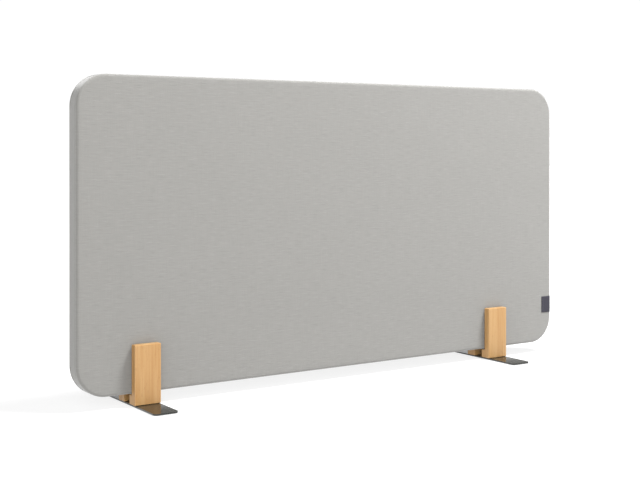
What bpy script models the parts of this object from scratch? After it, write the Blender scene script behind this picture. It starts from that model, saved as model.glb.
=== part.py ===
"""Desk privacy panel: a fabric-covered acoustic screen that stands on two slip-on feet.

The screen is a doweled wooden frame around a felt core, with a thin wadding on each face and a
three-piece fabric cover. Each foot is a steel plate with a rebated wooden post in front and behind.
The screen stands between the posts, on their ledges, and each foot slides along its lower edge.

Metres, +Z up. +X runs along the screen, -Y is the front. The origin is on the desk, under the
middle of the screen.
"""

import math

import bmesh
import bpy
from mathutils import Matrix, Vector

# The screen
SCREEN_WIDTH = 1.200
SCREEN_HEIGHT = 0.600
SCREEN_THICKNESS = 0.040
CORNER_RADIUS = 0.060
SCREEN_LIFT = 0.0245          # desk to the screen's lower edge
COVER_THICKNESS = 0.0012
WADDING_THICKNESS = 0.0030
FRAME_BAR = 0.022             # width of the wooden bars, seen from the front

# The feet
LEFT_FOOT_X = -0.465
RIGHT_FOOT_X = 0.415
FOOT_WIDTH = 0.054            # along the screen
POST_THICKNESS = 0.0145
POST_TOP = 0.118
POST_ROUNDING = 0.0012
LEDGE_REACH = 0.010           # how far a post's ledge reaches in under the screen
PLATE_WIDTH = 0.050
PLATE_LENGTH = 0.232
PLATE_THICKNESS = 0.003
PLATE_CORNER = 0.008
FELT_THICKNESS = 0.0013
FELT_WIDTH = 0.050
FELT_TOP = 0.114
FELT_REACH = 0.0075           # of the strips on the ledges
PAD_THICKNESS = 0.001
PAD_WIDTH = 0.040             # along the screen
PAD_DEPTH = 0.014
PAD_INSET = 0.014             # plate end to pad centre

# Fasteners
FRAME_DOWEL_RADIUS = 0.004
FRAME_DOWEL_LENGTH = 0.030
SCREW_X = 0.009               # foot centre to screw
SCREW_SHANK_RADIUS = 0.002
SCREW_HEAD_RADIUS = 0.004
SCREW_LENGTH = 0.030
SCREW_TIP = 0.004
SCREW_RIM = 0.0003            # height of the head's straight rim

# The woven label folded over the right-hand edge
LABEL_THICKNESS = 0.0006
LABEL_REACH = 0.030           # over each face, in from the edge
LABEL_HEIGHT = 0.038
LABEL_CENTRE_Z = 0.1125

GAP = 0.0003                  # between touching pieces
ARC_STEPS = 10                # straight runs in a quarter circle
ROUND_SIDES = 24

HALF_THICKNESS = SCREEN_THICKNESS / 2
SCREEN_CENTRE_Z = SCREEN_LIFT + SCREEN_HEIGHT / 2
FRAME_INSET = COVER_THICKNESS + GAP
WADDING_FACE_Y = HALF_THICKNESS - COVER_THICKNESS - GAP
FRAME_HALF_DEPTH = WADDING_FACE_Y - WADDING_THICKNESS - GAP
SLOT_HALF = HALF_THICKNESS + FELT_THICKNESS + 2 * GAP
POST_CENTRE_Y = SLOT_HALF + POST_THICKNESS / 2
PLATE_BOTTOM = PAD_THICKNESS + GAP
PLATE_TOP = PLATE_BOTTOM + PLATE_THICKNESS
POST_BOTTOM = PLATE_TOP + GAP
LEDGE_TOP = SCREEN_LIFT - FELT_THICKNESS - 2 * GAP


def clear_scene():
    for obj in list(bpy.data.objects):
        bpy.data.objects.remove(obj, do_unlink=True)


def make_collection(name, is_hidden=False):
    collection = bpy.data.collections.new(name)
    bpy.context.scene.collection.children.link(collection)
    collection.hide_render = is_hidden
    return collection


def make_material(name, colour, roughness, metallic=0.0):
    material = bpy.data.materials.new(name)
    material.use_nodes = True
    shader = material.node_tree.nodes["Principled BSDF"]
    shader.inputs["Base Color"].default_value = (*colour, 1.0)
    shader.inputs["Roughness"].default_value = roughness
    shader.inputs["Metallic"].default_value = metallic
    return material


def place(obj, material, parent=None):
    """Links a finished object to the parts, gives it its material and hangs it on its empty."""
    PARTS.objects.link(obj)
    obj.data.materials.clear()
    obj.data.materials.append(material)
    obj.parent = parent
    return obj


def make_empty(name, location=(0, 0, 0)):
    empty = bpy.data.objects.new(name, None)
    empty.location = location
    PARTS.objects.link(empty)
    return empty


def object_from_bmesh(name, bm):
    mesh = bpy.data.meshes.new(name)
    bm.to_mesh(mesh)
    bm.free()
    return bpy.data.objects.new(name, mesh)


def box(name, size, location=(0, 0, 0)):
    bm = bmesh.new()
    bmesh.ops.create_cube(bm, size=1.0, matrix=Matrix.Diagonal((*size, 1.0)))
    obj = object_from_bmesh(name, bm)
    obj.location = location
    return obj


def smooth_round(obj):
    obj.data.shade_smooth()
    obj.data.set_sharp_from_angle(angle=math.radians(40))
    return obj


def rod(name, radius, length):
    """A plain cylinder along Z, centred on its origin."""
    bm = bmesh.new()
    bmesh.ops.create_cone(
        bm, cap_ends=True, segments=ROUND_SIDES, radius1=radius, radius2=radius, depth=length,
    )
    return smooth_round(object_from_bmesh(name, bm))


def arc(centre, radius, start, end):
    """Points along an arc, with the angles in degrees."""
    points = []
    for step in range(ARC_STEPS + 1):
        angle = math.radians(start + (end - start) * step / ARC_STEPS)
        points.append((centre[0] + radius * math.cos(angle), centre[1] + radius * math.sin(angle)))
    return points


def rounded_rectangle(width, height, radius):
    x = width / 2 - radius
    y = height / 2 - radius
    corners = (((x, y), 0), ((-x, y), 90), ((-x, -y), 180), ((x, -y), 270))
    return [point for centre, start in corners for point in arc(centre, radius, start, start + 90)]


def flat_piece(name, outlines, thickness, is_upright=True):
    """Extrudes outlines about their own plane. Upright ones stand in X and Z, and the rest lie flat."""
    curve = bpy.data.curves.new(name, "CURVE")
    curve.dimensions = "2D"
    curve.fill_mode = "BOTH"
    curve.extrude = thickness / 2
    for outline in outlines:
        spline = curve.splines.new("POLY")
        spline.points.add(len(outline) - 1)
        for point, (x, y) in zip(spline.points, outline):
            point.co = (x, y, 0, 1)
        spline.use_cyclic_u = True
    obj = bpy.data.objects.new(name, curve)
    if is_upright:
        obj.rotation_euler = (math.radians(90), 0, 0)
    return obj


def as_mesh(obj):
    """Turns a curve object, or one with modifiers, into a closed mesh object of the same name."""
    bpy.context.scene.collection.objects.link(obj)
    evaluated = obj.evaluated_get(bpy.context.evaluated_depsgraph_get())
    mesh = bpy.data.meshes.new_from_object(evaluated)
    bm = bmesh.new()
    bm.from_mesh(mesh)
    bmesh.ops.remove_doubles(bm, verts=bm.verts, dist=0.00001)
    bmesh.ops.recalc_face_normals(bm, faces=bm.faces)
    bm.to_mesh(mesh)
    bm.free()
    name = obj.name
    matrix = obj.matrix_world.copy()
    bpy.data.objects.remove(obj)
    made = bpy.data.objects.new(name, mesh)
    made.matrix_world = matrix
    return made


def turned_piece(name, profile):
    """Turns a profile of (radius, height) points, given from the top down, about the Z axis."""
    bm = bmesh.new()
    points = [bm.verts.new((radius, 0, height)) for radius, height in profile]
    for first, second in zip(points, points[1:]):
        bm.edges.new((first, second))
    obj = object_from_bmesh(name, bm)
    screw = obj.modifiers.new("turn", "SCREW")
    screw.axis = "Z"
    screw.angle = math.radians(360)
    screw.steps = ROUND_SIDES
    screw.render_steps = ROUND_SIDES
    screw.use_merge_vertices = True
    screw.merge_threshold = 0.00001
    return smooth_round(as_mesh(obj))


def place_copies(prefix, piece, transforms, material, parent):
    """Numbered objects that share one piece's mesh, each at its own transform."""
    for number, transform in enumerate(transforms, start=1):
        copy = bpy.data.objects.new(f"{prefix}_{number}", piece.data)
        copy.matrix_local = transform
        place(copy, material, parent)


def make_cutter(name, piece, transforms, parent):
    """One hidden guide that holds a copy of a piece at each transform."""
    bm = bmesh.new()
    for transform in transforms:
        first = len(bm.verts)
        bm.from_mesh(piece.data)
        bm.verts.ensure_lookup_table()
        bmesh.ops.transform(bm, matrix=transform, verts=bm.verts[first:])
    cutter = object_from_bmesh(name, bm)
    CUTTERS.objects.link(cutter)
    cutter.parent = parent
    cutter.hide_render = True
    cutter.display_type = "WIRE"
    return cutter


def cut(obj, cutter):
    boolean = obj.modifiers.new(cutter.name, "BOOLEAN")
    boolean.operation = "DIFFERENCE"
    boolean.solver = "EXACT"
    boolean.object = cutter


def round_edges(obj, width):
    bevel = obj.modifiers.new("rounded_edges", "BEVEL")
    bevel.width = width
    bevel.segments = 2
    bevel.limit_method = "ANGLE"


def screen_outline(inset):
    return rounded_rectangle(SCREEN_WIDTH - 2 * inset, SCREEN_HEIGHT - 2 * inset, CORNER_RADIUS - inset)


def frame_dowel_places():
    """A dowel's transform at each joint between a straight bar and a corner block."""
    bar_centre = FRAME_INSET + FRAME_BAR / 2
    places = []
    for side_x in (-1, 1):
        for side_z in (-1, 1):
            rail_x = side_x * (SCREEN_WIDTH / 2 - CORNER_RADIUS)
            rail_z = SCREEN_CENTRE_Z + side_z * (SCREEN_HEIGHT / 2 - bar_centre)
            stile_x = side_x * (SCREEN_WIDTH / 2 - bar_centre)
            stile_z = SCREEN_CENTRE_Z + side_z * (SCREEN_HEIGHT / 2 - CORNER_RADIUS)
            lying = Matrix.Rotation(math.radians(90), 4, "Y")
            places.append(Matrix.Translation((rail_x, 0, rail_z)) @ lying)
            places.append(Matrix.Translation((stile_x, 0, stile_z)))
    return places


def make_frame(screen, wood, dowel_wood):
    depth = 2 * FRAME_HALF_DEPTH
    bar_centre = FRAME_INSET + FRAME_BAR / 2
    rail_length = SCREEN_WIDTH - 2 * CORNER_RADIUS - GAP
    stile_length = SCREEN_HEIGHT - 2 * CORNER_RADIUS - GAP
    rail_z = SCREEN_HEIGHT / 2 - bar_centre
    stile_x = SCREEN_WIDTH / 2 - bar_centre
    rail_size = (rail_length, depth, FRAME_BAR)
    stile_size = (FRAME_BAR, depth, stile_length)
    bars = (
        box("top_rail", rail_size, (0, 0, SCREEN_CENTRE_Z + rail_z)),
        box("bottom_rail", rail_size, (0, 0, SCREEN_CENTRE_Z - rail_z)),
        box("left_stile", stile_size, (-stile_x, 0, SCREEN_CENTRE_Z)),
        box("right_stile", stile_size, (stile_x, 0, SCREEN_CENTRE_Z)),
    )
    outer = CORNER_RADIUS - FRAME_INSET
    block_outline = arc((0, 0), outer, 0, 90) + arc((0, 0), outer - FRAME_BAR, 90, 0)
    corners = (
        ("top_right_block", 1, 1, 0),
        ("bottom_right_block", 1, -1, 90),
        ("bottom_left_block", -1, -1, 180),
        ("top_left_block", -1, 1, 270),
    )
    blocks = []
    for name, side_x, side_z, turn in corners:
        block = as_mesh(flat_piece(name, [block_outline], depth))
        block.data.transform(block.matrix_world)
        block.matrix_world = Matrix.Identity(4)
        block.rotation_euler = (0, math.radians(turn), 0)
        block.location = (
            side_x * (SCREEN_WIDTH / 2 - CORNER_RADIUS),
            0,
            SCREEN_CENTRE_Z + side_z * (SCREEN_HEIGHT / 2 - CORNER_RADIUS),
        )
        blocks.append(block)
    dowel = rod("frame_dowel", FRAME_DOWEL_RADIUS, FRAME_DOWEL_LENGTH)
    bore = rod("frame_bore", FRAME_DOWEL_RADIUS + GAP, FRAME_DOWEL_LENGTH + 2 * GAP)
    dowel_places = frame_dowel_places()
    bores = make_cutter("frame_bores", bore, dowel_places, screen)
    for obj in (*bars, *blocks):
        place(obj, wood, screen)
        cut(obj, bores)
    place_copies("frame_dowel", dowel, dowel_places, dowel_wood, screen)


def make_layers(screen, core_felt, wadding, fabric):
    centre = Vector((0, 0, SCREEN_CENTRE_Z))
    core_outline = screen_outline(FRAME_INSET + FRAME_BAR + GAP)
    core = flat_piece("acoustic_core", [core_outline], 2 * FRAME_HALF_DEPTH)
    core.location = centre
    place(core, core_felt, screen)
    for face, side in (("front", -1), ("back", 1)):
        pad = flat_piece(f"{face}_wadding", [screen_outline(FRAME_INSET)], WADDING_THICKNESS)
        pad.location = centre + Vector((0, side * (WADDING_FACE_Y - WADDING_THICKNESS / 2), 0))
        place(pad, wadding, screen)
        cover = flat_piece(f"{face}_cover", [screen_outline(0)], COVER_THICKNESS)
        cover.location = centre + Vector((0, side * (HALF_THICKNESS - COVER_THICKNESS / 2), 0))
        place(cover, fabric, screen)
    band_depth = SCREEN_THICKNESS - 2 * (COVER_THICKNESS + GAP)
    band = flat_piece("edge_band", [screen_outline(0), screen_outline(COVER_THICKNESS)], band_depth)
    band.location = centre
    place(band, fabric, screen)


def make_label(screen, cloth):
    """A strip folded over the right-hand edge, with a leaf on each face."""
    inner_y = HALF_THICKNESS + GAP
    outer_y = inner_y + LABEL_THICKNESS
    inner_x = SCREEN_WIDTH / 2 + GAP
    outer_x = inner_x + LABEL_THICKNESS
    leaf_x = SCREEN_WIDTH / 2 - LABEL_REACH
    outline = [
        (leaf_x, -outer_y), (outer_x, -outer_y), (outer_x, outer_y), (leaf_x, outer_y),
        (leaf_x, inner_y), (inner_x, inner_y), (inner_x, -inner_y), (leaf_x, -inner_y),
    ]
    label = flat_piece("side_label", [outline], LABEL_HEIGHT, is_upright=False)
    label.location = (0, 0, LABEL_CENTRE_Z)
    place(label, cloth, screen)


def screw_profile(clearance):
    """A countersunk screw standing point up, its flat head level with the origin. A bore has a clearance
    all round, and starts below the head."""
    head = SCREW_HEAD_RADIUS + clearance
    shank = SCREW_SHANK_RADIUS + clearance
    top = SCREW_LENGTH + clearance
    return [
        (0, top), (shank, top - SCREW_TIP), (shank, head - shank + SCREW_RIM),
        (head, SCREW_RIM), (head, -clearance), (0, -clearance),
    ]


def rebated_post(name, side_y):
    """A post and its ledge in one piece, drawn in Y and Z and extruded along X."""
    outer = SLOT_HALF + POST_THICKNESS
    inner = SLOT_HALF - LEDGE_REACH
    corners = [(outer, POST_BOTTOM), (outer, POST_TOP), (SLOT_HALF, POST_TOP), (SLOT_HALF, LEDGE_TOP),
               (inner, LEDGE_TOP), (inner, POST_BOTTOM)]
    outline = [(side_y * y, z) for y, z in corners]
    post = flat_piece(name, [outline], FOOT_WIDTH, is_upright=False)
    post.rotation_euler = (math.radians(90), 0, math.radians(90))
    return as_mesh(post)


def make_foot(side, x, materials):
    """One foot at its place along the screen. Its empty is the origin that slides with it."""
    wood, steel, screw_steel, felt, rubber = materials
    foot = make_empty(f"{side}_foot", (x, 0, 0))
    posts = (rebated_post(f"{side}_front_post", -1), rebated_post(f"{side}_rear_post", 1))
    for post in posts:
        round_edges(post, POST_ROUNDING)
    plate = as_mesh(flat_piece(
        f"{side}_base_plate", [rounded_rectangle(PLATE_WIDTH, PLATE_LENGTH, PLATE_CORNER)], PLATE_THICKNESS,
        is_upright=False))
    plate.location = (0, 0, PLATE_BOTTOM + PLATE_THICKNESS / 2)
    for post in posts:
        place(post, wood, foot)
    place(plate, steel, foot)

    upright = [Matrix.Translation((dx, dy, PLATE_BOTTOM))
               for dy in (-POST_CENTRE_Y, POST_CENTRE_Y) for dx in (-SCREW_X, SCREW_X)]
    screw = turned_piece("screw", screw_profile(0))
    screw_bore = turned_piece("screw_bore", screw_profile(GAP))
    screw_bores = make_cutter(f"{side}_screw_bores", screw_bore, upright, foot)
    place_copies(f"{side}_screw", screw, upright, screw_steel, foot)

    cut(plate, screw_bores)
    for post in posts:
        cut(post, screw_bores)

    seat_z = LEDGE_TOP + GAP + FELT_THICKNESS / 2
    seat_y = HALF_THICKNESS - FELT_REACH / 2
    wall_y = HALF_THICKNESS + GAP + FELT_THICKNESS / 2
    wall_bottom = SCREEN_LIFT
    wall_z = (wall_bottom + FELT_TOP) / 2
    wall_size = (FELT_WIDTH, FELT_THICKNESS, FELT_TOP - wall_bottom)
    seat_size = (FELT_WIDTH, FELT_REACH, FELT_THICKNESS)
    strips = (
        box(f"{side}_front_felt", wall_size, (0, -wall_y, wall_z)),
        box(f"{side}_rear_felt", wall_size, (0, wall_y, wall_z)),
        box(f"{side}_front_seat_felt", seat_size, (0, -seat_y, seat_z)),
        box(f"{side}_rear_seat_felt", seat_size, (0, seat_y, seat_z)),
    )
    for strip in strips:
        place(strip, felt, foot)

    pad_y = PLATE_LENGTH / 2 - PAD_INSET
    pad_size = (PAD_WIDTH, PAD_DEPTH, PAD_THICKNESS)
    place(box(f"{side}_front_pad", pad_size, (0, -pad_y, PAD_THICKNESS / 2)), rubber, foot)
    place(box(f"{side}_rear_pad", pad_size, (0, pad_y, PAD_THICKNESS / 2)), rubber, foot)


clear_scene()
PARTS = make_collection("desk_privacy_panel")
CUTTERS = make_collection("cutters", is_hidden=True)

fabric_grey = make_material("fabric_grey", (0.47, 0.465, 0.445), 0.95)
wadding_white = make_material("wadding_white", (0.80, 0.80, 0.78), 1.0)
core_grey = make_material("core_grey", (0.30, 0.30, 0.30), 1.0)
pine = make_material("pine", (0.70, 0.52, 0.31), 0.6)
beech = make_material("beech", (0.68, 0.42, 0.20), 0.45)
dowel_beech = make_material("dowel_beech", (0.62, 0.43, 0.25), 0.6)
coated_steel = make_material("coated_steel", (0.075, 0.08, 0.07), 0.5)
plated_steel = make_material("plated_steel", (0.62, 0.62, 0.60), 0.3, metallic=1.0)
slot_felt = make_material("slot_felt", (0.20, 0.20, 0.20), 1.0)
pad_rubber = make_material("pad_rubber", (0.03, 0.03, 0.03), 0.8)
label_cloth = make_material("label_cloth", (0.06, 0.05, 0.10), 0.85)

SCREEN = make_empty("screen")
make_frame(SCREEN, pine, dowel_beech)
make_layers(SCREEN, core_grey, wadding_white, fabric_grey)
make_label(SCREEN, label_cloth)
FOOT_MATERIALS = (beech, coated_steel, plated_steel, slot_felt, pad_rubber)
make_foot("left", LEFT_FOOT_X, FOOT_MATERIALS)
make_foot("right", RIGHT_FOOT_X, FOOT_MATERIALS)
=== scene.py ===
import math

import bmesh
import bpy
from mathutils import Matrix, Vector, noise
from mathutils.bvhtree import BVHTree


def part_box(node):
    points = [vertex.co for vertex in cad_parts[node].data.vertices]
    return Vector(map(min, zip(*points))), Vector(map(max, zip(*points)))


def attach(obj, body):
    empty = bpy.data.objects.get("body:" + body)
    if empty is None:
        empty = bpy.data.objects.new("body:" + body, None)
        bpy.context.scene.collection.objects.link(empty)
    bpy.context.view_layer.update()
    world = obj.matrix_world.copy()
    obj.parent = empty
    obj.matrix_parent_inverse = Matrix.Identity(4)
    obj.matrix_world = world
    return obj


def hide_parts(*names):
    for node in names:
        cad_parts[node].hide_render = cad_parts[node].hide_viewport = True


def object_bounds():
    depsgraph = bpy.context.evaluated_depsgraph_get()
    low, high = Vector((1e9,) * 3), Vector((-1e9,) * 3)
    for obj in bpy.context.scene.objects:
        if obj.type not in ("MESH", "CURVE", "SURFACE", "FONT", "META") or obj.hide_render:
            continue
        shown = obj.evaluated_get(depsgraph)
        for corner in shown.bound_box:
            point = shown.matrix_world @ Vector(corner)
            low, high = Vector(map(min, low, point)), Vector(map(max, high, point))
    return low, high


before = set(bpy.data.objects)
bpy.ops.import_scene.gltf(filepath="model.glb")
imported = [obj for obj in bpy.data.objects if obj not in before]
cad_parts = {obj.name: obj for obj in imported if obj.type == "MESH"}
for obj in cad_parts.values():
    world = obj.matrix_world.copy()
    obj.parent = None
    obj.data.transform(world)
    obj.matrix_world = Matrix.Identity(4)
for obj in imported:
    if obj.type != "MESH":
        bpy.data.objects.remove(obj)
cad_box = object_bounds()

# ---- The studio ----
# A white sweep under a pale backdrop, with a soft key light high above the right-hand end of the
# screen and weak fills from the left. The camera stands level at the front left, at a seated eye's height.

scene = bpy.context.scene
scene.view_settings.view_transform = "Standard"


def srgb(code):
    """A hex colour as the shader's linear values."""
    steps = [int(code[i:i + 2], 16) / 255 for i in (1, 3, 5)]
    return (*[c / 12.92 if c <= 0.04045 else ((c + 0.055) / 1.055) ** 2.4 for c in steps], 1.0)


def new_material(name):
    """An empty Principled material and its node tree."""
    material = bpy.data.materials.new(name)
    material.use_nodes = True
    return material, material.node_tree, material.node_tree.nodes["Principled BSDF"]


def add_node(tree, kind, inputs=None, **settings):
    """Adds a node. Each of its inputs takes a value, or the output socket that it is linked to."""
    node = tree.nodes.new(kind)
    for name, value in settings.items():
        setattr(node, name, value)
    for name, value in (inputs or {}).items():
        if isinstance(value, bpy.types.NodeSocket):
            tree.links.new(value, node.inputs[name])
        else:
            node.inputs[name].default_value = value
    return node


FLOOR_SIZE = 40.0
FLOOR_GLOW = 0.78        # the lit sweep's own brightness near the screen
GLOW_NEAR = 1.2          # the glow starts to rise here, and is full at the far distance
GLOW_FAR = 3.5
SKY_LOW = 1.03           # the white backdrop, up to about 9 degrees above the horizon
SKY_HIGH = 0.35
SKY_FADE_START = 0.16    # sines of the angles above the horizon between which it darkens
SKY_FADE_END = 0.34

# Place, target, size, spread in degrees and watts.
SOFTBOXES = {
    "key_softbox": ((1.4, -1.25, 4.2), (1.0, -0.5, 0.0), 1.1, 140, 308),
    "front_left_fill": ((-2.2, -3.6, 1.6), (0.0, 0.0, 0.3), 2.5, 180, 133),
    "left_fill": ((-3.6, -1.6, 1.2), (0.0, 0.0, 0.3), 2.0, 180, 25),
}

# A white sweep lit from below, which fades the shadows on it and turns fully white further out.
floor_material, tree, shader = new_material("lit_white_sweep")
shader.inputs["Base Color"].default_value = srgb("#898989")
shader.inputs["Roughness"].default_value = 0.9
shader.inputs["Specular IOR Level"].default_value = 0.1
shader.inputs["Emission Color"].default_value = srgb("#ffffff")
place = add_node(tree, "ShaderNodeTexCoord").outputs["Object"]
away = add_node(tree, "ShaderNodeVectorMath", {0: place}, operation="LENGTH").outputs["Value"]
glow = add_node(tree, "ShaderNodeMapRange", {
    "Value": away, "From Min": GLOW_NEAR, "From Max": GLOW_FAR, "To Min": FLOOR_GLOW, "To Max": 1.0})
tree.links.new(glow.outputs["Result"], shader.inputs["Emission Strength"])

bm = bmesh.new()
bmesh.ops.create_grid(bm, x_segments=1, y_segments=1, size=FLOOR_SIZE / 2)
floor_mesh = bpy.data.meshes.new("studio_floor")
bm.to_mesh(floor_mesh)
bm.free()
floor = bpy.data.objects.new("studio_floor", floor_mesh)
floor.location.z = cad_box[0].z - 0.0002
floor_mesh.materials.append(floor_material)
scene.collection.objects.link(floor)

world = bpy.data.worlds.new("white_backdrop")
world.use_nodes = True
tree = world.node_tree
direction = add_node(tree, "ShaderNodeTexCoord").outputs["Generated"]
height = add_node(tree, "ShaderNodeSeparateXYZ", {"Vector": direction}).outputs["Z"]
backdrop = add_node(tree, "ShaderNodeMapRange", {
    "Value": height, "From Min": SKY_FADE_START, "From Max": SKY_FADE_END,
    "To Min": SKY_LOW, "To Max": SKY_HIGH})
tree.nodes["Background"].inputs["Color"].default_value = srgb("#ffffff")
tree.links.new(backdrop.outputs["Result"], tree.nodes["Background"].inputs["Strength"])
scene.world = world

for name, (stand, target, size, spread, watts) in SOFTBOXES.items():
    softbox = bpy.data.objects.new(name, bpy.data.lights.new(name, "AREA"))
    softbox.data.shape = "SQUARE"
    softbox.data.size = size
    softbox.data.spread = math.radians(spread)
    softbox.data.energy = watts
    softbox.location = stand
    softbox.rotation_euler = (Vector(target) - Vector(stand)).to_track_quat("-Z", "Y").to_euler()
    scene.collection.objects.link(softbox)

camera = bpy.data.objects.new("camera", bpy.data.cameras.new("camera"))
camera.data.sensor_width = 36.0
camera.data.lens = 65.55
camera.data.shift_y = -0.1467
camera.location = (-1.4157, -2.0331, 0.4900)
camera.rotation_euler = (math.radians(90), 0, -0.5908)
scene.collection.objects.link(camera)
scene.camera = camera


# ---- The inner frame ----
# Planed pine bars and quarter-round corner blocks, joined with fluted beech dowels and glue. Pine
# gives broad pale bands with darker late-wood lines, and planing leaves it smooth but not shiny.

def dress(material, *nodes):
    """Gives CAD nodes a material in every slot."""
    for name in nodes:
        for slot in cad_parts[name].material_slots:
            slot.material = material


def wood(name, light, dark, fleck, line_mm, length_mm, roughness):
    """Straight-grained timber: broad bands along Z, fine lines between them, and short dark flecks.

    line_mm is the spacing of the fine lines, and length_mm how far they run before they change."""
    material, tree, shader = new_material(name)
    place = add_node(tree, "ShaderNodeTexCoord").outputs["Object"]
    across, along = 1000 / line_mm, 1000 / length_mm
    grain_place = add_node(tree, "ShaderNodeMapping", {"Vector": place, "Scale": (across, across, along)})
    grain = add_node(tree, "ShaderNodeTexNoise", {
        "Vector": grain_place.outputs["Vector"], "Scale": 1.0, "Detail": 5.0, "Roughness": 0.62,
        "Distortion": 0.25})
    band_place = add_node(tree, "ShaderNodeMapping", {
        "Vector": place, "Scale": (across / 7, across / 7, along / 3)})
    bands = add_node(tree, "ShaderNodeTexNoise", {
        "Vector": band_place.outputs["Vector"], "Scale": 1.0, "Detail": 2.0, "Distortion": 0.6})
    both = add_node(tree, "ShaderNodeMath", {
        0: grain.outputs["Fac"], 1: bands.outputs["Fac"]}, operation="ADD")
    tone = add_node(tree, "ShaderNodeMapRange", {
        "Value": both.outputs["Value"], "From Min": 0.72, "From Max": 1.28})
    timber = add_node(tree, "ShaderNodeMix", {
        "Factor": tone.outputs["Result"], "A": srgb(dark), "B": srgb(light)}, data_type="RGBA")
    fleck_place = add_node(tree, "ShaderNodeMapping", {
        "Vector": place, "Scale": (across * 1.6, across * 1.6, along * 9)})
    flecks = add_node(tree, "ShaderNodeTexNoise", {
        "Vector": fleck_place.outputs["Vector"], "Scale": 1.0, "Detail": 1.0})
    fleck_mask = add_node(tree, "ShaderNodeMapRange", {
        "Value": flecks.outputs["Fac"], "From Min": 0.66, "From Max": 0.78, "To Max": 0.45})
    colour = add_node(tree, "ShaderNodeMix", {
        "Factor": fleck_mask.outputs["Result"], "A": timber.outputs["Result"], "B": srgb(fleck)},
        data_type="RGBA")
    tree.links.new(colour.outputs["Result"], shader.inputs["Base Color"])
    gloss = add_node(tree, "ShaderNodeMapRange", {
        "Value": grain.outputs["Fac"], "To Min": roughness - 0.06, "To Max": roughness + 0.08})
    tree.links.new(gloss.outputs["Result"], shader.inputs["Roughness"])
    relief = add_node(tree, "ShaderNodeBump", {
        "Height": grain.outputs["Fac"], "Strength": 0.25, "Distance": 0.0002})
    tree.links.new(relief.outputs["Normal"], shader.inputs["Normal"])
    return material


planed_pine = wood("planed_pine", "#e3c193", "#c79a62", "#8d5f34", 2.5, 120, 0.6)
turned_beech = wood("turned_beech", "#d2ab7e", "#b98a5a", "#7d5230", 1.0, 40, 0.55)
dress(planed_pine, "top_rail", "bottom_rail", "left_stile", "right_stile", "top_left_block",
      "top_right_block", "bottom_left_block", "bottom_right_block")
dress(turned_beech, *[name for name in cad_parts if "dowel" in name])


# ---- The acoustic core ----
# A board of pressed grey polyester felt that fills the frame and soaks up sound. Needling leaves a
# matt, slightly hairy face of mixed grey fibres.

def fibres(name, dark, light, fibre_mm, depth_mm):
    """Matt felt of mixed dark and light fibres.

    Single fibres are far too fine to show, so they are drawn as tufts fibre_mm across."""
    material, tree, shader = new_material(name)
    place = add_node(tree, "ShaderNodeTexCoord").outputs["Object"]
    fibre = add_node(tree, "ShaderNodeTexNoise", {
        "Vector": place, "Scale": 1000 / fibre_mm, "Detail": 6.0, "Roughness": 0.7, "Distortion": 1.2})
    spread = add_node(tree, "ShaderNodeMapRange", {
        "Value": fibre.outputs["Fac"], "From Min": 0.32, "From Max": 0.68})
    colour = add_node(tree, "ShaderNodeMix", {
        "Factor": spread.outputs["Result"], "A": srgb(dark), "B": srgb(light)}, data_type="RGBA")
    tree.links.new(colour.outputs["Result"], shader.inputs["Base Color"])
    shader.inputs["Roughness"].default_value = 1.0
    shader.inputs["Sheen Weight"].default_value = 0.3
    relief = add_node(tree, "ShaderNodeBump", {
        "Height": fibre.outputs["Fac"], "Strength": 0.6, "Distance": depth_mm / 1000})
    tree.links.new(relief.outputs["Normal"], shader.inputs["Normal"])
    return material


needled_felt = fibres("needled_polyester_felt", "#6f7072", "#a3a4a5", 3.0, 0.6)

CELL = 0.012             # mesh spacing on the faces
CORNER_CELLS = 10
CORNER = 0.060           # the screen's corner radius

cover_low, cover_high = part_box("front_cover")
back_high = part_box("back_cover")[1]
SCREEN_X = cover_high.x
SCREEN_Z = (cover_high.z - cover_low.z) / 2
MIDDLE_Z = (cover_high.z + cover_low.z) / 2
FACE_Y = back_high.y


def face_lines(half, radius):
    """Mesh lines across a face: close together at the corners, even between them."""
    straight = half - radius
    count = 2 * round(straight / CELL)
    middle = [-straight + 2 * straight * i / count for i in range(count + 1)]
    corner = [radius * (i + 1) / CORNER_CELLS for i in range(CORNER_CELLS)]
    return [-straight - c for c in reversed(corner)] + middle + [straight + c for c in corner]


def round_corner(x, z, half_x, half_z, radius):
    """Moves a point of a square-cornered grid so that the grid's corners become round."""
    a = (abs(x) - half_x + radius) / radius
    b = (abs(z) - half_z + radius) / radius
    if a <= 0 or b <= 0:
        return x, z
    new_x = half_x - radius + radius * a * math.sqrt(1 - b * b / 2)
    new_z = half_z - radius + radius * b * math.sqrt(1 - a * a / 2)
    return math.copysign(new_x, x), math.copysign(new_z, z)


def face_grid(bm, inset, height_at):
    """A round-cornered grid of quads on a face. Returns its rim, in order round the face.

    height_at gives each place's distance from the screen's middle plane."""
    half_x, half_z, radius = SCREEN_X - inset, SCREEN_Z - inset, CORNER - inset
    xs, zs = face_lines(half_x, radius), face_lines(half_z, radius)
    rows = []
    for z in zs:
        row = []
        for x in xs:
            px, pz = round_corner(x, z, half_x, half_z, radius)
            row.append(bm.verts.new((px, height_at(px, pz), pz)))
        rows.append(row)
    for lower, upper in zip(rows, rows[1:]):
        for i in range(len(xs) - 1):
            bm.faces.new((lower[i], lower[i + 1], upper[i + 1], upper[i]))
    right = [row[-1] for row in rows]
    left = [row[0] for row in rows]
    return rows[0] + right[1:] + rows[-1][-2::-1] + left[-2:0:-1]


def outward(x, z):
    """The direction out of the screen's outline, in the plane of the screen, at a place on its rim."""
    over = Vector((max(abs(x) - SCREEN_X + CORNER, 0), 0, max(abs(z) - SCREEN_Z + CORNER, 0)))
    over = over.normalized()
    return Vector((math.copysign(over.x, x), 0, math.copysign(over.z, z)))


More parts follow.
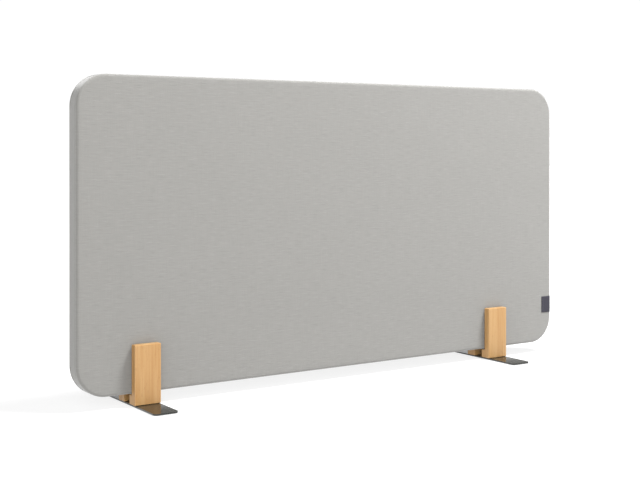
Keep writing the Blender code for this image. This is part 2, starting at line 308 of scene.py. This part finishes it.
def add_ring(bm, ring, places):
    """Joins a ring of vertices to a new one at the given places."""
    new = [bm.verts.new(place) for place in places]
    for i in range(len(ring)):
        j = (i + 1) % len(ring)
        bm.faces.new((ring[i], new[i], new[j], ring[j]))
    return new


def finish_piece(name, bm, material, body, moved=(0, 0, 0), keep_sides=False):
    """Makes a smooth-shaded object of a mesh, in place, riding on its body."""
    if not keep_sides:
        bmesh.ops.recalc_face_normals(bm, faces=bm.faces)
    mesh = bpy.data.meshes.new(name)
    bm.to_mesh(mesh)
    bm.free()
    mesh.transform(Matrix.Translation(moved))
    mesh.materials.append(material)
    mesh.shade_smooth()
    piece = bpy.data.objects.new(name, mesh)
    scene.collection.objects.link(piece)
    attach(piece, body)
    return piece


def round_rim(bm, rim, radius, side):
    """Turns a face's rim over a soft quarter-round edge."""
    ring = rim
    for turn in (30, 60, 90):
        out = radius * math.sin(math.radians(turn))
        down = radius * (1 - math.cos(math.radians(turn)))
        places = []
        for vert in rim:
            places.append(vert.co + outward(vert.co.x, vert.co.z) * out - Vector((0, side * down, 0)))
        ring = add_ring(bm, ring, places)
    return ring


CORE_EDGE = 0.0010       # the felt board's worn arris
core_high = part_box("acoustic_core")[1]
core_inset = SCREEN_X - core_high.x
bm = bmesh.new()
rings = []
for side in (-1, 1):
    rim = face_grid(bm, core_inset + CORE_EDGE, lambda x, z: side * core_high.y)
    rings.append(round_rim(bm, rim, CORE_EDGE, side))
count = len(rings[0])
for i in range(count):
    j = (i + 1) % count
    bm.faces.new((rings[0][i], rings[1][i], rings[1][j], rings[0][j]))
core = finish_piece("felt_core_board", bm, needled_felt, "screen", (0, 0, MIDDLE_Z))
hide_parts("acoustic_core")


# ---- The wadding ----
# A thin sheet of bonded polyester wadding glued over each face of the frame and core. It rounds the
# edges and gives the cloth its slight swell.

FACE_SWELL = 0.0004      # how far the middle of the wadding stands out
FACE_INSET = 0.0004      # how far the cloth's face lies inside the screen's nominal face at its rim
SWELL_REACH = 0.28       # distance from the rim over which the swell rises
RIPPLE = 0.00010         # unevenness of the wadding and of the stretched cloth
CLOTH = 0.0009           # the cover's thickness, which the wadding leaves room for
CLOTH_AIR = 0.0002
WADDING_EDGE = 0.0014

wadding_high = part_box("front_wadding")[1]
wadding_inset = SCREEN_X - wadding_high.x


def smooth_step(t):
    """A soft rise from 0 to 1."""
    t = min(max(t, 0.0), 1.0)
    return t * t * (3 - 2 * t)


def ripple(x, z, seed):
    """The slight waviness left by laying and stretching by hand: long waves with shorter ones on them."""
    long_wave = noise.noise(Vector((x * 9, z * 14, seed)))
    return RIPPLE * (long_wave + 0.5 * noise.noise(Vector((x * 31, z * 37, seed))))


def lift_face(rim_y, side, seed):
    """The height of a padded face, which swells from its rim to its middle, as a function of place."""
    def height_at(x, z):
        rim = min(SCREEN_X - abs(x), SCREEN_Z - abs(z))
        return side * (rim_y + (FACE_SWELL * smooth_step(rim / SWELL_REACH) + ripple(x, z, seed)))
    return height_at


bonded_wadding = fibres("bonded_polyester_wadding", "#dcdcd8", "#f4f4f1", 5.0, 1.0)
FACES = (("front", -1, 3.0), ("back", 1, 8.0))     # name, way it faces, seed of its ripple
for face, side, seed in FACES:
    inner_y = abs(wadding_high.y)
    outer_y = FACE_Y - FACE_INSET - CLOTH - CLOTH_AIR
    bm = bmesh.new()
    rim = face_grid(bm, wadding_inset + WADDING_EDGE, lift_face(outer_y, side, seed))
    ring = round_rim(bm, rim, WADDING_EDGE, side)
    add_ring(bm, ring, [Vector((v.co.x, side * inner_y, v.co.z)) for v in ring])
    face_grid(bm, wadding_inset, lambda x, z: side * inner_y)
    bmesh.ops.remove_doubles(bm, verts=bm.verts, dist=0.00005)
    pad = finish_piece(f"{face}_wadding_sheet", bm, bonded_wadding, "screen",
                       (0, 0, MIDDLE_Z))
    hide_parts(f"{face}_wadding")


# ---- The fabric cover ----
# Melange wool-blend cloth in a plain weave, cut as two faces and a band, sewn together round the
# edge and stretched over the wadding. Slubby yarn gives it soft flecks and short streaks.

EDGE_ROUNDING = 0.0050   # the padded edge's radius
SEAM_Y = 0.0125          # seam to the screen's middle plane
SEAM_DEPTH = 0.0004
SEAM_HALF = 0.0002
SEAM_EASE = 0.0003       # flat cloth beside the seam, which keeps its shading narrow
SEAM_LIP = 0.0001
YARN_MM = 2.2            # real yarns lie 0.9 mm apart, and are drawn coarser so that they show
YARN_RUN_MM = 45.0       # over which a yarn keeps its shade
SLUB_MM = 22.0           # a slub's length
SLUB_STRENGTH = 36.0
DRIFT_SHARE = 0.15       # slow changes of shade from one part of the cloth to another
RIDGE_SHARE = 1.5        # how much the shades raise the yarns, next to their crossings
BUMP_DISTANCE = 0.00012


def woven_cloth(name, dark, middle, light):
    """A plain weave on UVs in metres. Each yarn has its own shade, and slubs swell some of the weft."""
    material, tree, shader = new_material(name)
    place = add_node(tree, "ShaderNodeUVMap", uv_map="cloth").outputs["UV"]
    yarn, run, slub = 1000 / YARN_MM, 1000 / YARN_RUN_MM, 1000 / SLUB_MM

    def streaks(across_x, across_y, detail):
        stretched = add_node(tree, "ShaderNodeMapping", {
            "Vector": place, "Scale": (across_x, across_y, 1)})
        return add_node(tree, "ShaderNodeTexNoise", {
            "Vector": stretched.outputs["Vector"], "Scale": 1.0, "Detail": detail, "Roughness": 0.6},
            noise_dimensions="2D").outputs["Fac"]

    weft, warp = streaks(run, yarn, 2.0), streaks(yarn, run, 2.0)
    parts = add_node(tree, "ShaderNodeSeparateXYZ", {"Vector": place})
    waves = []
    for axis in ("X", "Y"):
        turns = add_node(tree, "ShaderNodeMath", {
            0: parts.outputs[axis], 1: yarn * math.pi}, operation="MULTIPLY")
        waves.append(add_node(tree, "ShaderNodeMath", {0: turns.outputs[0]}, operation="SINE").outputs[0])
    over = add_node(tree, "ShaderNodeMath", {0: waves[0], 1: waves[1]}, operation="MULTIPLY").outputs[0]
    on_top = add_node(tree, "ShaderNodeMapRange", {"Value": over, "From Min": -0.4, "From Max": 0.4})
    yarns = add_node(tree, "ShaderNodeMix", {
        "Factor": on_top.outputs["Result"], "A": weft, "B": warp}).outputs[0]

    # Only the extremes of the slub pattern show: the cube of its distance from the middle finds them.
    swing = add_node(tree, "ShaderNodeMath", {
        0: streaks(slub, yarn * 0.8, 1.0), 1: 0.5}, operation="SUBTRACT").outputs[0]
    swing_squared = add_node(tree, "ShaderNodeMath", {0: swing, 1: swing}, operation="MULTIPLY").outputs[0]
    slubs = add_node(tree, "ShaderNodeMath", {0: swing, 1: swing_squared}, operation="MULTIPLY").outputs[0]
    drift = add_node(tree, "ShaderNodeTexNoise", {
        "Vector": place, "Scale": 7.0, "Detail": 1.0}, noise_dimensions="2D").outputs["Fac"]
    drifted = add_node(tree, "ShaderNodeMath", {
        0: drift, 1: DRIFT_SHARE, 2: yarns}, operation="MULTIPLY_ADD").outputs[0]
    mixed = add_node(tree, "ShaderNodeMath", {
        0: slubs, 1: SLUB_STRENGTH, 2: drifted}, operation="MULTIPLY_ADD").outputs[0]
    tone = add_node(tree, "ShaderNodeMapRange", {"Value": mixed, "From Min": 0.275, "From Max": 0.875})
    colours = add_node(tree, "ShaderNodeValToRGB", {"Fac": tone.outputs["Result"]})
    ramp = colours.color_ramp
    ramp.elements[0].color = srgb(dark)
    ramp.elements[1].color = srgb(light)
    ramp.elements.new(0.5).color = srgb(middle)
    tree.links.new(colours.outputs["Color"], shader.inputs["Base Color"])
    shader.inputs["Roughness"].default_value = 0.95
    shader.inputs["Specular IOR Level"].default_value = 0.25
    shader.inputs["Sheen Weight"].default_value = 0.36
    shader.inputs["Sheen Roughness"].default_value = 0.5
    ridge = add_node(tree, "ShaderNodeMath", {0: over}, operation="ABSOLUTE").outputs[0]
    height = add_node(tree, "ShaderNodeMath", {
        0: mixed, 1: RIDGE_SHARE, 2: ridge}, operation="MULTIPLY_ADD").outputs[0]
    relief = add_node(tree, "ShaderNodeBump", {
        "Height": height, "Strength": 0.45, "Distance": BUMP_DISTANCE})
    tree.links.new(relief.outputs["Normal"], shader.inputs["Normal"])
    return material


melange_cloth = woven_cloth("melange_wool_cloth", "#706f6c", "#73726f", "#767572")


def solidify(piece, thickness):
    """Gives a sheet its thickness, inwards from the face that is modelled."""
    shell = piece.modifiers.new("cloth_thickness", "SOLIDIFY")
    shell.thickness = thickness
    shell.offset = -1.0


def lay_uvs(piece, place_of):
    """Cloth coordinates in metres: place_of turns a vertex number into its place on the flat cloth."""
    layer = piece.data.uv_layers.new(name="cloth")
    for loop in piece.data.loops:
        layer.data[loop.index].uv = place_of(loop.vertex_index)


rim_arc = EDGE_ROUNDING * math.pi / 2
side_run = FACE_Y - FACE_INSET - EDGE_ROUNDING - SEAM_Y - SEAM_HALF
# Steps down the rounded edge and into the seam: how far out, how far down, and along the cloth.
edge_steps = []
for angle in range(15, 91, 15):
    turn = math.radians(angle)
    edge_steps.append((EDGE_ROUNDING * math.sin(turn), EDGE_ROUNDING * (1 - math.cos(turn)),
                       rim_arc * angle / 90))
edge_steps.append((EDGE_ROUNDING, EDGE_ROUNDING + side_run * 0.5, rim_arc + side_run * 0.5))
edge_steps.append((EDGE_ROUNDING, EDGE_ROUNDING + side_run - SEAM_EASE,
                   rim_arc + side_run - SEAM_EASE))
edge_steps.append((EDGE_ROUNDING - SEAM_LIP, EDGE_ROUNDING + side_run, rim_arc + side_run))
edge_steps.append((EDGE_ROUNDING - SEAM_DEPTH * 0.5, EDGE_ROUNDING + side_run + SEAM_HALF * 0.8,
                   rim_arc + side_run + SEAM_DEPTH * 0.5))
edge_steps.append((EDGE_ROUNDING - SEAM_DEPTH, EDGE_ROUNDING + side_run + SEAM_HALF,
                   rim_arc + side_run + SEAM_DEPTH))

CLOTH_PRESSURE = 4.0
CLOTH_FRAMES = 20
SWELL_CAP = 0.0016       # the most that the middle of a face may move
GRIP_HEIGHT = 0.125      # below this the feet's felt grips the cloth, which stays flatter
GRIP_FADE = 0.12         # over which the cap rises above it
GRIP_CAP = 0.0004
RIPPLE_RIM = 0.03        # how far in from the edge the ripple reaches its full height


def swell_in_simulation(cloth, held, side):
    """Presses the wadding's spring on the back of a sewn-down cloth, and returns how far each point moves
    outwards.
    """
    rest = [v.co.copy() for v in cloth.data.vertices]
    sewn = cloth.vertex_groups.new(name="sewn_down")
    sewn.add(held, 1.0, "REPLACE")
    simulation = cloth.modifiers.new("taut_cloth", "CLOTH")
    simulation.point_cache.frame_start = 1
    simulation.point_cache.frame_end = CLOTH_FRAMES
    settings = simulation.settings
    settings.quality = 5
    settings.mass = 0.4
    settings.tension_stiffness = 60
    settings.compression_stiffness = 60
    settings.shear_stiffness = 30
    settings.bending_stiffness = 2
    settings.vertex_group_mass = "sewn_down"
    settings.use_pressure = True
    settings.uniform_pressure_force = CLOTH_PRESSURE
    settings.effector_weights.gravity = 0
    for step in range(1, CLOTH_FRAMES + 1):
        scene.frame_set(step)
    settled = cloth.evaluated_get(bpy.context.evaluated_depsgraph_get()).data
    moves = [(settled.vertices[i].co - place).y * side for i, place in enumerate(rest)]
    cloth.modifiers.remove(simulation)
    cloth.vertex_groups.remove(sewn)
    scene.frame_set(1)
    return moves


for face, side, seed in FACES:
    bm = bmesh.new()
    rim = face_grid(bm, EDGE_ROUNDING, lambda x, z: side * (FACE_Y - FACE_INSET))
    cloth_place = [(v.co.x, v.co.z) for v in bm.verts]
    face_count = len(cloth_place)
    ring = rim
    for out, down, run in edge_steps:
        places = []
        for vert in rim:
            direction = outward(vert.co.x, vert.co.z)
            places.append(vert.co + direction * out - Vector((0, side * down, 0)))
            cloth_place.append((vert.co.x + direction.x * run, vert.co.z + direction.z * run))
        ring = add_ring(bm, ring, places)
    bm.verts.index_update()
    held = [v.index for v in rim] + list(range(face_count, len(cloth_place)))
    cloth = finish_piece(f"{face}_cloth", bm, melange_cloth, "screen", (0, 0, MIDDLE_Z))
    moves = swell_in_simulation(cloth, held, side)
    share = SWELL_CAP / max(max(moves), SWELL_CAP)
    held = set(held)
    for vert in cloth.data.vertices:
        if vert.index in held:
            continue
        x, z = vert.co.x, vert.co.z
        edge = min(SCREEN_X - abs(x), SCREEN_Z - abs(z - MIDDLE_Z))
        cap = GRIP_CAP + (SWELL_CAP - GRIP_CAP) * smooth_step((z - GRIP_HEIGHT) / GRIP_FADE)
        move = cap * math.tanh(moves[vert.index] * share / cap)
        move += ripple(x, z, seed) * smooth_step(edge / RIPPLE_RIM)
        vert.co.y += side * move
    lay_uvs(cloth, lambda i: cloth_place[i])
    solidify(cloth, CLOTH)
    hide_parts(f"{face}_cover")

# The band between the two seams, whose ends meet at the middle of the lower edge.
# Steps across it, each a place from the middle and a depth below the band's face.
band_steps = [(-SEAM_Y + SEAM_HALF, SEAM_DEPTH), (-SEAM_Y + SEAM_HALF * 1.3, SEAM_DEPTH * 0.5),
              (-SEAM_Y + SEAM_HALF * 3, SEAM_LIP), (-SEAM_Y + SEAM_HALF * 3 + SEAM_EASE, 0.0)]
band_steps += [(y, 0.0) for y in (-0.008, -0.004, 0.0, 0.004, 0.008)]
band_steps += [(-y, depth) for y, depth in reversed(band_steps[:4])]
OUTLINE_STEPS = 220
quarter = CORNER * math.pi / 2
straight_x, straight_z = 2 * (SCREEN_X - CORNER), 2 * (SCREEN_Z - CORNER)
band_length = 2 * (straight_x + straight_z) + 4 * quarter


def outline_place(distance):
    """A place on the screen's outline and the direction out of it, from the lower edge's middle."""
    runs = (("line", straight_x / 2, (0, -SCREEN_Z), 0), ("arc", quarter, (1, -1), -90),
            ("line", straight_z, (SCREEN_X, -straight_z / 2), 90), ("arc", quarter, (1, 1), 0),
            ("line", straight_x, (straight_x / 2, SCREEN_Z), 180), ("arc", quarter, (-1, 1), 90),
            ("line", straight_z, (-SCREEN_X, straight_z / 2), 270), ("arc", quarter, (-1, -1), 180),
            ("line", straight_x / 2, (-straight_x / 2, -SCREEN_Z), 0))
    for kind, length, start, angle in runs:
        if distance <= length + 1e-9:
            break
        distance -= length
    if kind == "line":
        heading = math.radians(angle)
        place = Vector((start[0] + distance * math.cos(heading), 0,
                        start[1] + distance * math.sin(heading)))
        return place, Vector((math.sin(heading), 0, -math.cos(heading)))
    turn = math.radians(angle) + distance / CORNER
    out = Vector((math.cos(turn), 0, math.sin(turn)))
    return Vector((start[0] * straight_x / 2, 0, start[1] * straight_z / 2)) + out * CORNER, out


bm = bmesh.new()
rows, cloth_place = [], []
for step in range(OUTLINE_STEPS + 1):
    distance = band_length * step / OUTLINE_STEPS
    place, out = outline_place(distance)
    row = []
    for y, depth in band_steps:
        row.append(bm.verts.new(place - out * depth + Vector((0, y, 0))))
        cloth_place.append((distance, y))
    rows.append(row)
for first, second in zip(rows, rows[1:]):
    for i in range(len(band_steps) - 1):
        bm.faces.new((first[i], first[i + 1], second[i + 1], second[i]))
band = finish_piece("edge_band_cloth", bm, melange_cloth, "screen", (0, 0, MIDDLE_Z))
lay_uvs(band, lambda i: cloth_place[i])
solidify(band, CLOTH)
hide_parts("edge_band")


# ---- The label ----
# A plain woven label in dark violet-grey polyester, folded over the right-hand edge and sewn down
# along both ends. Its fine satin face has a slight gloss.

satin_label, tree, shader = new_material("woven_satin_label")
place = add_node(tree, "ShaderNodeTexCoord").outputs["Object"]
# Real ribs are a fraction of a millimetre, and are drawn 0.7 mm high and 2.5 mm long so that they show.
rib_place = add_node(tree, "ShaderNodeMapping", {"Vector": place, "Scale": (400, 400, 1400)})
rib = add_node(tree, "ShaderNodeTexNoise", {
    "Vector": rib_place.outputs["Vector"], "Scale": 1.0, "Detail": 3.0})
tint = add_node(tree, "ShaderNodeMix", {
    "Factor": rib.outputs["Fac"], "A": srgb("#100e17"), "B": srgb("#221e30")}, data_type="RGBA")
tree.links.new(tint.outputs["Result"], shader.inputs["Base Color"])
shader.inputs["Roughness"].default_value = 0.6
shader.inputs["Sheen Weight"].default_value = 0.05
relief = add_node(tree, "ShaderNodeBump", {
    "Height": rib.outputs["Fac"], "Strength": 0.4, "Distance": 0.0002})
tree.links.new(relief.outputs["Normal"], shader.inputs["Normal"])

LABEL_CLOTH = 0.0005
LABEL_OFF = 0.0001       # air between the label and the cloth
HEM = 0.0045             # how much of each end is turned under
HEM_RISE = 0.0003
HEM_FADE = 0.0012        # over which the hem's rise dies away
LABEL_SLACK = 0.00008
STITCH_LINE = 0.0020     # from the label's end
STITCH_SINK = 0.00025    # how deep the stitching pulls the label in, and half how wide
STITCH_SPREAD = 0.0008
STITCH_STEP = 0.0026
THREAD = 0.00022         # the thread's radius
LABEL_FLAT_STEPS = 13
LABEL_BEND_STEPS = 6
LABEL_ROWS = 14

label_low, label_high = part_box("side_label")
label_reach = SCREEN_X - label_low.x
label_height = label_high.z - label_low.z
edge_y = FACE_Y - FACE_INSET - EDGE_ROUNDING

# The label's line round the edge of the screen: a place, the direction out of the cloth, and the run.
label_line = []
flat_run = label_reach - EDGE_ROUNDING
for i in range(LABEL_FLAT_STEPS):
    run = flat_run * i / LABEL_FLAT_STEPS
    label_line.append((SCREEN_X - label_reach + run, -FACE_Y + FACE_INSET, -90, run))
for i in range(LABEL_BEND_STEPS + 1):
    turn = -90 + 90 / LABEL_BEND_STEPS * i
    label_line.append((SCREEN_X - EDGE_ROUNDING + EDGE_ROUNDING * math.cos(math.radians(turn)),
                       -edge_y + EDGE_ROUNDING * math.sin(math.radians(turn)), turn,
                       flat_run + rim_arc * i / LABEL_BEND_STEPS))
for i in range(1, 4):
    label_line.append((SCREEN_X, -edge_y * (1 - i / 3), 0, flat_run + rim_arc + edge_y * i / 3))
half_run = label_line[-1][3]
label_line += [(x, -y, -turn, 2 * half_run - run) for x, y, turn, run in reversed(label_line[:-1])]

bpy.context.view_layer.update()
cover_cloths = [BVHTree.FromObject(bpy.data.objects[name], bpy.context.evaluated_depsgraph_get())
                for name in ("front_cloth", "back_cloth", "edge_band_cloth")]


def on_cloth(x, y, z, turn):
    """The place on the cover straight under a place near it, and the direction out of the cover there."""
    out = Vector((math.cos(math.radians(turn)), math.sin(math.radians(turn)), 0))
    start = Vector((x, y, z)) + out * 0.01
    hits = [cover.ray_cast(start, -out, 0.02) for cover in cover_cloths]
    reached = [hit[3] for hit in hits if hit[0] is not None]
    return start - out * min(min(reached, default=0.01), 0.0101), out


bm = bmesh.new()
rows, cloth_place = [], []
for i in range(LABEL_ROWS + 1):
    z = label_low.z + label_height * i / LABEL_ROWS
    row = []
    for x, y, turn, run in label_line:
        place, out = on_cloth(x, y, z, turn)
        from_end = min(run, 2 * half_run - run)
        rise = HEM_RISE * (1 - smooth_step((from_end - HEM) / HEM_FADE))
        rise -= STITCH_SINK * math.exp(-((from_end - STITCH_LINE) / STITCH_SPREAD) ** 2)
        slack = LABEL_SLACK * (1 + noise.noise(Vector((run * 90, z * 140, 5.0))))
        row.append(bm.verts.new(place + out * (LABEL_OFF + LABEL_CLOTH + rise + slack)))
        cloth_place.append((run, z))
    rows.append(row)
for first, second in zip(rows, rows[1:]):
    for i in range(len(label_line) - 1):
        bm.faces.new((first[i], first[i + 1], second[i + 1], second[i]))
label = finish_piece("folded_label", bm, satin_label, "screen")
lay_uvs(label, lambda i: cloth_place[i])
solidify(label, LABEL_CLOTH)
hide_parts("side_label")

# A row of polyester lockstitch across each end.
sewing_thread = fibres("polyester_sewing_thread", "#24222c", "#3d3a4a", 0.6, 0.05)
stitches = bpy.data.curves.new("label_stitches", "CURVE")
stitches.dimensions = "3D"
stitches.bevel_depth = THREAD
stitches.bevel_resolution = 2
for side in (-1, 1):
    count = int((label_height - 0.002) / STITCH_STEP)
    for i in range(count):
        middle = (label_low.z + label_high.z) / 2 + (i - (count - 1) / 2) * STITCH_STEP
        stitch = stitches.splines.new("POLY")
        stitch.points.add(4)
        for j, rise in enumerate((-0.0002, 0.00012, 0.00018, 0.00012, -0.0002)):
            z = middle + (j - 2) * STITCH_STEP * 0.21
            place, out = on_cloth(SCREEN_X - label_reach + STITCH_LINE, side * (FACE_Y - FACE_INSET), z,
                                  90 * side)
            top = place + out * (LABEL_OFF + LABEL_CLOTH + HEM_RISE - STITCH_SINK + rise)
            stitch.points[j].co = (*top, 1.0)
thread = bpy.data.objects.new("label_stitches", stitches)
stitches.materials.append(sewing_thread)
scene.collection.objects.link(thread)
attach(thread, "screen")


# ---- The feet: posts ----
# Oiled beech, planed and lightly rounded, with a ledge cut under the screen's edge. Beech is a warm,
# even tan with fine straight lines and short brown flecks, and oil leaves it a low satin.

oiled_beech = wood("oiled_beech", "#a48357", "#936c3d", "#6c4725", 1.6, 90, 0.42)
for side in ("left", "right"):
    dress(oiled_beech, f"{side}_front_post", f"{side}_rear_post")


# ---- The feet: base plates ----
# Laser-cut steel plate with a black powder coat. The coat is a smooth semi-gloss with a faint orange
# peel, so seen low down it mirrors the foot of the post and the cloth over a nearly black ground.

ORANGE_PEEL_MM = 2.0     # from one bump of the coat to the next
COAT_CLOUDS_PER_M = 60.0     # slow changes of tint and gloss

powder_coat, tree, shader = new_material("black_powder_coat")
place = add_node(tree, "ShaderNodeTexCoord").outputs["Object"]
peel = add_node(tree, "ShaderNodeTexNoise", {
    "Vector": place, "Scale": 1000 / ORANGE_PEEL_MM, "Detail": 2.0})
clouds = add_node(tree, "ShaderNodeTexNoise", {
    "Vector": place, "Scale": COAT_CLOUDS_PER_M, "Detail": 4.0})
tint = add_node(tree, "ShaderNodeMix", {
    "Factor": clouds.outputs["Fac"], "A": srgb("#141512"), "B": srgb("#1f201c")}, data_type="RGBA")
tree.links.new(tint.outputs["Result"], shader.inputs["Base Color"])
gloss = add_node(tree, "ShaderNodeMapRange", {
    "Value": clouds.outputs["Fac"], "To Min": 0.12, "To Max": 0.22})
tree.links.new(gloss.outputs["Result"], shader.inputs["Roughness"])
relief = add_node(tree, "ShaderNodeBump", {
    "Height": peel.outputs["Fac"], "Strength": 0.12, "Distance": 0.0001})
tree.links.new(relief.outputs["Normal"], shader.inputs["Normal"])
dress(powder_coat, "left_base_plate", "right_base_plate")


# ---- The feet: screws ----
# Countersunk wood screws, driven up through the plate into the posts. They are zinc-plated: a bright
# bluish metal with a cloudy bloom from the bath.

BLOOM_MM = 2.0           # size of the bloom's clouds

zinc_plate, tree, shader = new_material("zinc_plated_steel")
place = add_node(tree, "ShaderNodeTexCoord").outputs["Object"]
bloom = add_node(tree, "ShaderNodeTexNoise", {
    "Vector": place, "Scale": 1000 / BLOOM_MM, "Detail": 3.0})
tint = add_node(tree, "ShaderNodeMix", {
    "Factor": bloom.outputs["Fac"], "A": srgb("#a9acae"), "B": srgb("#d3d4d2")}, data_type="RGBA")
tree.links.new(tint.outputs["Result"], shader.inputs["Base Color"])
shader.inputs["Metallic"].default_value = 1.0
gloss = add_node(tree, "ShaderNodeMapRange", {
    "Value": bloom.outputs["Fac"], "To Min": 0.22, "To Max": 0.4})
tree.links.new(gloss.outputs["Result"], shader.inputs["Roughness"])
relief = add_node(tree, "ShaderNodeBump", {
    "Height": bloom.outputs["Fac"], "Strength": 0.15, "Distance": 0.0001})
tree.links.new(relief.outputs["Normal"], shader.inputs["Normal"])
dress(zinc_plate, *[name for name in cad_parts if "_screw_" in name])


# ---- The feet: felt linings and pads ----
# A strip of dark grey felt lines each post and its ledge, and grips the cloth. Thin rubber strips
# under the plates keep the feet from sliding and from marking the desk.

slot_felt = fibres("self_adhesive_felt", "#4c4d4e", "#6d6e70", 2.0, 0.3)
FELT_BEND = 0.0025       # outer radius where the strip turns in from the wall to the ledge
FELT_FRAY = 0.00015      # how rough the strip's cut ends are
FELT_CELLS = 12          # across the strip, down its wall, round its bend and along its ledge
FELT_WALL_STEPS = 13
FELT_BEND_STEPS = 4
FELT_SEAT_STEPS = 3
for side in ("left", "right"):
    for face in ("front", "rear"):
        wall_low, wall_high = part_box(f"{side}_{face}_felt")
        seat_low, seat_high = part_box(f"{side}_{face}_seat_felt")
        way = -1 if face == "front" else 1
        wall_y = max(abs(wall_low.y), abs(wall_high.y))
        seat_end = min(abs(seat_low.y), abs(seat_high.y))

        # The strip's outer line, seen from the foot's end: down the wall, round the bend and in along
        # the ledge. Each point has its distance from the middle, its height and its run.
        wall_run = wall_high.z - seat_low.z - FELT_BEND
        bend_run = FELT_BEND * math.pi / 2
        seat_run = wall_y - FELT_BEND - seat_end
        strip = []
        for i in range(FELT_WALL_STEPS):
            run = wall_run * i / FELT_WALL_STEPS
            strip.append((wall_y, wall_high.z - run, run))
        for i in range(FELT_BEND_STEPS + 1):
            turn = math.radians(90 / FELT_BEND_STEPS * i)
            strip.append((wall_y - FELT_BEND * (1 - math.cos(turn)),
                          seat_low.z + FELT_BEND * (1 - math.sin(turn)),
                          wall_run + bend_run * i / FELT_BEND_STEPS))
        for i in range(1, FELT_SEAT_STEPS + 1):
            run = seat_run * i / FELT_SEAT_STEPS
            strip.append((wall_y - FELT_BEND - run, seat_low.z, wall_run + bend_run + run))

        bm = bmesh.new()
        rows = []
        for i in range(FELT_CELLS + 1):
            x = wall_low.x + (wall_high.x - wall_low.x) * i / FELT_CELLS
            row = []
            for y, z, run in strip:
                fray = 0.0
                if i in (0, FELT_CELLS):
                    fray = FELT_FRAY * noise.noise(Vector((x * 300, run * 120, 2.0)))
                row.append(bm.verts.new((x + fray, way * y, z)))
            rows.append(row)
        for first, second in zip(rows, rows[1:]):
            for i in range(len(strip) - 1):
                corners = (first[i], second[i], second[i + 1], first[i + 1])
                bm.faces.new(corners[::-1] if face == "front" else corners)
        lining = finish_piece(f"{side}_{face}_lining", bm, slot_felt, f"{side}_foot",
                              keep_sides=True)
        solidify(lining, seat_high.z - seat_low.z)
        softness = lining.modifiers.new("soft_cut_edge", "BEVEL")
        softness.width = 0.0004
        softness.segments = 2
        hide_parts(f"{side}_{face}_felt", f"{side}_{face}_seat_felt")

# The pads' rubber is dead matt, with the fine grain of its mould.
RUBBER_GRAINS_PER_MM = 1.2

pad_rubber, tree, shader = new_material("moulded_black_rubber")
place = add_node(tree, "ShaderNodeTexCoord").outputs["Object"]
grain = add_node(tree, "ShaderNodeTexNoise", {
    "Vector": place, "Scale": 1000 * RUBBER_GRAINS_PER_MM, "Detail": 2.0})
tint = add_node(tree, "ShaderNodeMix", {
    "Factor": grain.outputs["Fac"], "A": srgb("#1c1c1c"), "B": srgb("#2b2b2b")}, data_type="RGBA")
tree.links.new(tint.outputs["Result"], shader.inputs["Base Color"])
shader.inputs["Roughness"].default_value = 0.75
relief = add_node(tree, "ShaderNodeBump", {
    "Height": grain.outputs["Fac"], "Strength": 0.3, "Distance": 0.0001})
tree.links.new(relief.outputs["Normal"], shader.inputs["Normal"])
for side in ("left", "right"):
    dress(pad_rubber, f"{side}_front_pad", f"{side}_rear_pad")
